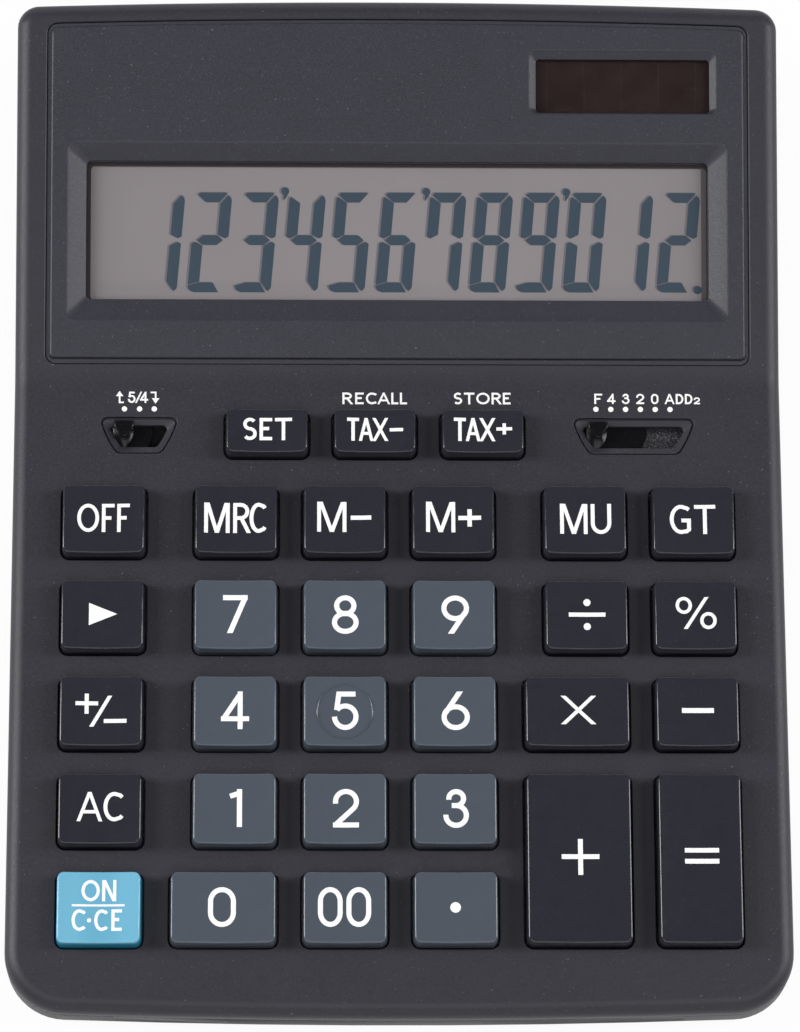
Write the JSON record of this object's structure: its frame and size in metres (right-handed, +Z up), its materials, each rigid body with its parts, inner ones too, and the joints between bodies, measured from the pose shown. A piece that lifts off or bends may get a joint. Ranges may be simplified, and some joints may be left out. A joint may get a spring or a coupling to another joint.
{
  "type": "desktop calculator",
  "caption": "Desktop calculator with dished keys on a sloping deck, a steeper display slope with a bevelled screen and a solar cell, and slide switches.",
  "frame": {"origin": "middle of the footprint, on the table under the feet", "axes": "+X to the user's right, +Y from the user to the display, +Z up"},
  "size_m": [0.155, 0.206, 0.0345],
  "materials": {
    "case": "fine textured charcoal",
    "key_dark": "glossy near-black",
    "key_slate": "glossy slate",
    "key_blue": "glossy light blue",
    "knob": "glossy black",
    "window": "clear",
    "screen_glass": "grey liquid crystal",
    "inner_plastic": "white",
    "ribbon": "amber film",
    "solar": "dark brown cell",
    "copper": "copper alloy",
    "keypad_rubber": "grey silicone",
    "board": "green lacquer",
    "resin": "black resin",
    "steel": "plain steel",
    "foot_rubber": "black",
    "switch_base": "grey"
  },
  "bodies": {
    "case": {"upper_case": "case", "display_panel": "case", "display_window": "window", "lcd_frame": "inner_plastic", "lcd_glass": "screen_glass", "lcd_backing": "inner_plastic", "lcd_ribbon": "ribbon", "solar_window": "window", "solar_cell": "solar", "solar_leads": "copper", "rubber_keypad": "keypad_rubber", "main_board": "board", "processor_cover": "resin", "lower_case": "case", "case_screws": "steel", "feet": "foot_rubber", "battery_door": "case", "battery_door_screw": "steel", "button_cell": "steel", "cell_contact_positive": "steel", "cell_contact_negative": "steel", "battery_leads": "copper", "rounding_switch_base": "switch_base", "decimal_switch_base": "switch_base"},
    "key_set": {"key_set": "key_dark"},
    "key_tax_minus": {"key_tax_minus": "key_dark"},
    "key_tax_plus": {"key_tax_plus": "key_dark"},
    "key_off": {"key_off": "key_dark"},
    "key_mrc": {"key_mrc": "key_dark"},
    "key_m_minus": {"key_m_minus": "key_dark"},
    "key_m_plus": {"key_m_plus": "key_dark"},
    "key_mu": {"key_mu": "key_dark"},
    "key_gt": {"key_gt": "key_dark"},
    "key_shift": {"key_shift": "key_dark"},
    "key_7": {"key_7": "key_slate"},
    "key_8": {"key_8": "key_slate"},
    "key_9": {"key_9": "key_slate"},
    "key_divide": {"key_divide": "key_dark"},
    "key_percent": {"key_percent": "key_dark"},
    "key_sign": {"key_sign": "key_dark"},
    "key_4": {"key_4": "key_slate"},
    "key_5": {"key_5": "key_slate"},
    "key_6": {"key_6": "key_slate"},
    "key_multiply": {"key_multiply": "key_dark"},
    "key_minus": {"key_minus": "key_dark"},
    "key_ac": {"key_ac": "key_dark"},
    "key_1": {"key_1": "key_slate"},
    "key_2": {"key_2": "key_slate"},
    "key_3": {"key_3": "key_slate"},
    "key_on_clear": {"key_on_clear": "key_blue"},
    "key_0": {"key_0": "key_slate"},
    "key_00": {"key_00": "key_slate"},
    "key_point": {"key_point": "key_slate"},
    "key_plus": {"key_plus": "key_dark"},
    "key_equals": {"key_equals": "key_dark"},
    "rounding_slider": {"rounding_knob": "knob", "rounding_wiper": "copper"},
    "decimal_slider": {"decimal_knob": "knob", "decimal_wiper": "copper"}
  },
  "joints": [
    {"name": "key_set_press", "type": "slide", "parent": "case", "child": "key_set", "axis": [0, 0.0523, -0.9986], "range_m": [0, 0.0015], "stiffness_N_per_m": 300, "springref_m": -0.0008, "deforming": ["rubber_keypad"]},
    {"name": "key_tax_minus_press", "type": "slide", "parent": "case", "child": "key_tax_minus", "axis": [0, 0.0523, -0.9986], "range_m": [0, 0.0015], "stiffness_N_per_m": 300, "springref_m": -0.0008, "deforming": ["rubber_keypad"]},
    {"name": "key_tax_plus_press", "type": "slide", "parent": "case", "child": "key_tax_plus", "axis": [0, 0.0523, -0.9986], "range_m": [0, 0.0015], "stiffness_N_per_m": 300, "springref_m": -0.0008, "deforming": ["rubber_keypad"]},
    {"name": "key_off_press", "type": "slide", "parent": "case", "child": "key_off", "axis": [0, 0.0523, -0.9986], "range_m": [0, 0.0015], "stiffness_N_per_m": 300, "springref_m": -0.0008, "deforming": ["rubber_keypad"]},
    {"name": "key_mrc_press", "type": "slide", "parent": "case", "child": "key_mrc", "axis": [0, 0.0523, -0.9986], "range_m": [0, 0.0015], "stiffness_N_per_m": 300, "springref_m": -0.0008, "deforming": ["rubber_keypad"]},
    {"name": "key_m_minus_press", "type": "slide", "parent": "case", "child": "key_m_minus", "axis": [0, 0.0523, -0.9986], "range_m": [0, 0.0015], "stiffness_N_per_m": 300, "springref_m": -0.0008, "deforming": ["rubber_keypad"]},
    {"name": "key_m_plus_press", "type": "slide", "parent": "case", "child": "key_m_plus", "axis": [0, 0.0523, -0.9986], "range_m": [0, 0.0015], "stiffness_N_per_m": 300, "springref_m": -0.0008, "deforming": ["rubber_keypad"]},
    {"name": "key_mu_press", "type": "slide", "parent": "case", "child": "key_mu", "axis": [0, 0.0523, -0.9986], "range_m": [0, 0.0015], "stiffness_N_per_m": 300, "springref_m": -0.0008, "deforming": ["rubber_keypad"]},
    {"name": "key_gt_press", "type": "slide", "parent": "case", "child": "key_gt", "axis": [0, 0.0523, -0.9986], "range_m": [0, 0.0015], "stiffness_N_per_m": 300, "springref_m": -0.0008, "deforming": ["rubber_keypad"]},
    {"name": "key_shift_press", "type": "slide", "parent": "case", "child": "key_shift", "axis": [0, 0.0523, -0.9986], "range_m": [0, 0.0015], "stiffness_N_per_m": 300, "springref_m": -0.0008, "deforming": ["rubber_keypad"]},
    {"name": "key_7_press", "type": "slide", "parent": "case", "child": "key_7", "axis": [0, 0.0523, -0.9986], "range_m": [0, 0.0015], "stiffness_N_per_m": 300, "springref_m": -0.0008, "deforming": ["rubber_keypad"]},
    {"name": "key_8_press", "type": "slide", "parent": "case", "child": "key_8", "axis": [0, 0.0523, -0.9986], "range_m": [0, 0.0015], "stiffness_N_per_m": 300, "springref_m": -0.0008, "deforming": ["rubber_keypad"]},
    {"name": "key_9_press", "type": "slide", "parent": "case", "child": "key_9", "axis": [0, 0.0523, -0.9986], "range_m": [0, 0.0015], "stiffness_N_per_m": 300, "springref_m": -0.0008, "deforming": ["rubber_keypad"]},
    {"name": "key_divide_press", "type": "slide", "parent": "case", "child": "key_divide", "axis": [0, 0.0523, -0.9986], "range_m": [0, 0.0015], "stiffness_N_per_m": 300, "springref_m": -0.0008, "deforming": ["rubber_keypad"]},
    {"name": "key_percent_press", "type": "slide", "parent": "case", "child": "key_percent", "axis": [0, 0.0523, -0.9986], "range_m": [0, 0.0015], "stiffness_N_per_m": 300, "springref_m": -0.0008, "deforming": ["rubber_keypad"]},
    {"name": "key_sign_press", "type": "slide", "parent": "case", "child": "key_sign", "axis": [0, 0.0523, -0.9986], "range_m": [0, 0.0015], "stiffness_N_per_m": 300, "springref_m": -0.0008, "deforming": ["rubber_keypad"]},
    {"name": "key_4_press", "type": "slide", "parent": "case", "child": "key_4", "axis": [0, 0.0523, -0.9986], "range_m": [0, 0.0015], "stiffness_N_per_m": 300, "springref_m": -0.0008, "deforming": ["rubber_keypad"]},
    {"name": "key_5_press", "type": "slide", "parent": "case", "child": "key_5", "axis": [0, 0.0523, -0.9986], "range_m": [0, 0.0015], "stiffness_N_per_m": 300, "springref_m": -0.0008, "deforming": ["rubber_keypad"]},
    {"name": "key_6_press", "type": "slide", "parent": "case", "child": "key_6", "axis": [0, 0.0523, -0.9986], "range_m": [0, 0.0015], "stiffness_N_per_m": 300, "springref_m": -0.0008, "deforming": ["rubber_keypad"]},
    {"name": "key_multiply_press", "type": "slide", "parent": "case", "child": "key_multiply", "axis": [0, 0.0523, -0.9986], "range_m": [0, 0.0015], "stiffness_N_per_m": 300, "springref_m": -0.0008, "deforming": ["rubber_keypad"]},
    {"name": "key_minus_press", "type": "slide", "parent": "case", "child": "key_minus", "axis": [0, 0.0523, -0.9986], "range_m": [0, 0.0015], "stiffness_N_per_m": 300, "springref_m": -0.0008, "deforming": ["rubber_keypad"]},
    {"name": "key_ac_press", "type": "slide", "parent": "case", "child": "key_ac", "axis": [0, 0.0523, -0.9986], "range_m": [0, 0.0015], "stiffness_N_per_m": 300, "springref_m": -0.0008, "deforming": ["rubber_keypad"]},
    {"name": "key_1_press", "type": "slide", "parent": "case", "child": "key_1", "axis": [0, 0.0523, -0.9986], "range_m": [0, 0.0015], "stiffness_N_per_m": 300, "springref_m": -0.0008, "deforming": ["rubber_keypad"]},
    {"name": "key_2_press", "type": "slide", "parent": "case", "child": "key_2", "axis": [0, 0.0523, -0.9986], "range_m": [0, 0.0015], "stiffness_N_per_m": 300, "springref_m": -0.0008, "deforming": ["rubber_keypad"]},
    {"name": "key_3_press", "type": "slide", "parent": "case", "child": "key_3", "axis": [0, 0.0523, -0.9986], "range_m": [0, 0.0015], "stiffness_N_per_m": 300, "springref_m": -0.0008, "deforming": ["rubber_keypad"]},
    {"name": "key_on_clear_press", "type": "slide", "parent": "case", "child": "key_on_clear", "axis": [0, 0.0523, -0.9986], "range_m": [0, 0.0015], "stiffness_N_per_m": 300, "springref_m": -0.0008, "deforming": ["rubber_keypad"]},
    {"name": "key_0_press", "type": "slide", "parent": "case", "child": "key_0", "axis": [0, 0.0523, -0.9986], "range_m": [0, 0.0015], "stiffness_N_per_m": 300, "springref_m": -0.0008, "deforming": ["rubber_keypad"]},
    {"name": "key_00_press", "type": "slide", "parent": "case", "child": "key_00", "axis": [0, 0.0523, -0.9986], "range_m": [0, 0.0015], "stiffness_N_per_m": 300, "springref_m": -0.0008, "deforming": ["rubber_keypad"]},
    {"name": "key_point_press", "type": "slide", "parent": "case", "child": "key_point", "axis": [0, 0.0523, -0.9986], "range_m": [0, 0.0015], "stiffness_N_per_m": 300, "springref_m": -0.0008, "deforming": ["rubber_keypad"]},
    {"name": "key_plus_press", "type": "slide", "parent": "case", "child": "key_plus", "axis": [0, 0.0523, -0.9986], "range_m": [0, 0.0015], "stiffness_N_per_m": 300, "springref_m": -0.0008, "deforming": ["rubber_keypad"]},
    {"name": "key_equals_press", "type": "slide", "parent": "case", "child": "key_equals", "axis": [0, 0.0523, -0.9986], "range_m": [0, 0.0015], "stiffness_N_per_m": 300, "springref_m": -0.0008, "deforming": ["rubber_keypad"]},
    {"name": "rounding_slide", "type": "slide", "parent": "case", "child": "rounding_slider", "axis": [1, 0, 0], "range_m": [0, 0.006]},
    {"name": "decimal_slide", "type": "slide", "parent": "case", "child": "decimal_slider", "axis": [1, 0, 0], "range_m": [0, 0.015]}
  ]
}
